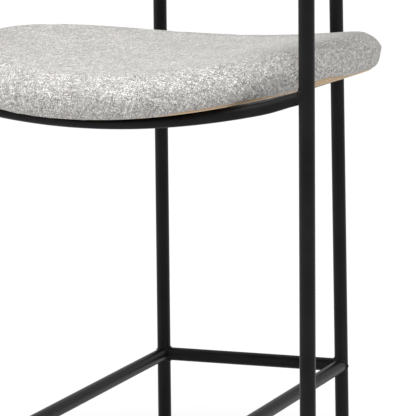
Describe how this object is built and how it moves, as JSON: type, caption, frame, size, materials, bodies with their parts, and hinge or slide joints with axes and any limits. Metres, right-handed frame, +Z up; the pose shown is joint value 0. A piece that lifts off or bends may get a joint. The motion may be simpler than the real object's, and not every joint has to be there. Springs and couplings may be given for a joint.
{
  "type": "counter stool",
  "caption": "Counter-height stool with a round tube frame, footrest ring, dished upholstered seat and a padded back band inside a curved hoop rail.",
  "frame": {"origin": "on the floor, under the middle of the overall width and depth", "axes": "+Z up, -Y towards the front edge of the seat, +X to the right of someone who faces the stool's front from -Y"},
  "size_m": [0.6778, 0.6325, 0.895],
  "materials": {
    "back_board": "raw birch plywood",
    "back_outer_panel": "light grey flecked woven cloth",
    "back_pad": "light grey flecked woven cloth",
    "back_screw_1": "zinc plated",
    "back_screw_2": "zinc plated",
    "back_screw_3": "zinc plated",
    "back_screw_4": "zinc plated",
    "back_screw_5": "zinc plated",
    "back_screw_6": "zinc plated",
    "back_screw_7": "zinc plated",
    "back_screw_8": "zinc plated",
    "back_tab_1": "satin black powder coat",
    "back_tab_2": "satin black powder coat",
    "back_tab_3": "satin black powder coat",
    "back_tab_4": "satin black powder coat",
    "dust_cover": "black non-woven cloth",
    "front_footrest": "satin black powder coat",
    "front_glide_left": "matt black moulded plastic",
    "front_glide_right": "matt black moulded plastic",
    "front_post_left": "satin black powder coat",
    "front_post_right": "satin black powder coat",
    "front_seat_rail": "satin black powder coat",
    "hoop_plug_left": "matt black moulded plastic",
    "hoop_plug_right": "matt black moulded plastic",
    "rear_glide_left": "matt black moulded plastic",
    "rear_glide_right": "matt black moulded plastic",
    "rear_post_left": "satin black powder coat",
    "rear_post_right": "satin black powder coat",
    "rear_seat_rail": "satin black powder coat",
    "rear_stretcher": "satin black powder coat",
    "seat_board": "raw birch plywood",
    "seat_pad": "light grey flecked woven cloth",
    "seat_screw_1": "zinc plated",
    "seat_screw_2": "zinc plated",
    "seat_screw_3": "zinc plated",
    "seat_screw_4": "zinc plated",
    "seat_screw_5": "zinc plated",
    "seat_screw_6": "zinc plated",
    "seat_tab_1": "satin black powder coat",
    "seat_tab_2": "satin black powder coat",
    "seat_tab_3": "satin black powder coat",
    "seat_tab_4": "satin black powder coat",
    "seat_tab_5": "satin black powder coat",
    "seat_tab_6": "satin black powder coat",
    "side_seat_rail_left": "satin black powder coat",
    "side_seat_rail_right": "satin black powder coat",
    "side_stretcher_left": "satin black powder coat",
    "side_stretcher_right": "satin black powder coat",
    "top_hoop": "satin black powder coat"
  },
  "bodies": {
    "root": {"back_board": "back_board", "back_outer_panel": "back_outer_panel", "back_pad": "back_pad", "back_screw_1": "back_screw_1", "back_screw_2": "back_screw_2", "back_screw_3": "back_screw_3", "back_screw_4": "back_screw_4", "back_screw_5": "back_screw_5", "back_screw_6": "back_screw_6", "back_screw_7": "back_screw_7", "back_screw_8": "back_screw_8", "back_tab_1": "back_tab_1", "back_tab_2": "back_tab_2", "back_tab_3": "back_tab_3", "back_tab_4": "back_tab_4", "dust_cover": "dust_cover", "front_footrest": "front_footrest", "front_glide_left": "front_glide_left", "front_glide_right": "front_glide_right", "front_post_left": "front_post_left", "front_post_right": "front_post_right", "front_seat_rail": "front_seat_rail", "hoop_plug_left": "hoop_plug_left", "hoop_plug_right": "hoop_plug_right", "rear_glide_left": "rear_glide_left", "rear_glide_right": "rear_glide_right", "rear_post_left": "rear_post_left", "rear_post_right": "rear_post_right", "rear_seat_rail": "rear_seat_rail", "rear_stretcher": "rear_stretcher", "seat_board": "seat_board", "seat_pad": "seat_pad", "seat_screw_1": "seat_screw_1", "seat_screw_2": "seat_screw_2", "seat_screw_3": "seat_screw_3", "seat_screw_4": "seat_screw_4", "seat_screw_5": "seat_screw_5", "seat_screw_6": "seat_screw_6", "seat_tab_1": "seat_tab_1", "seat_tab_2": "seat_tab_2", "seat_tab_3": "seat_tab_3", "seat_tab_4": "seat_tab_4", "seat_tab_5": "seat_tab_5", "seat_tab_6": "seat_tab_6", "side_seat_rail_left": "side_seat_rail_left", "side_seat_rail_right": "side_seat_rail_right", "side_stretcher_left": "side_stretcher_left", "side_stretcher_right": "side_stretcher_right", "top_hoop": "top_hoop"}
  },
  "joints": []
}
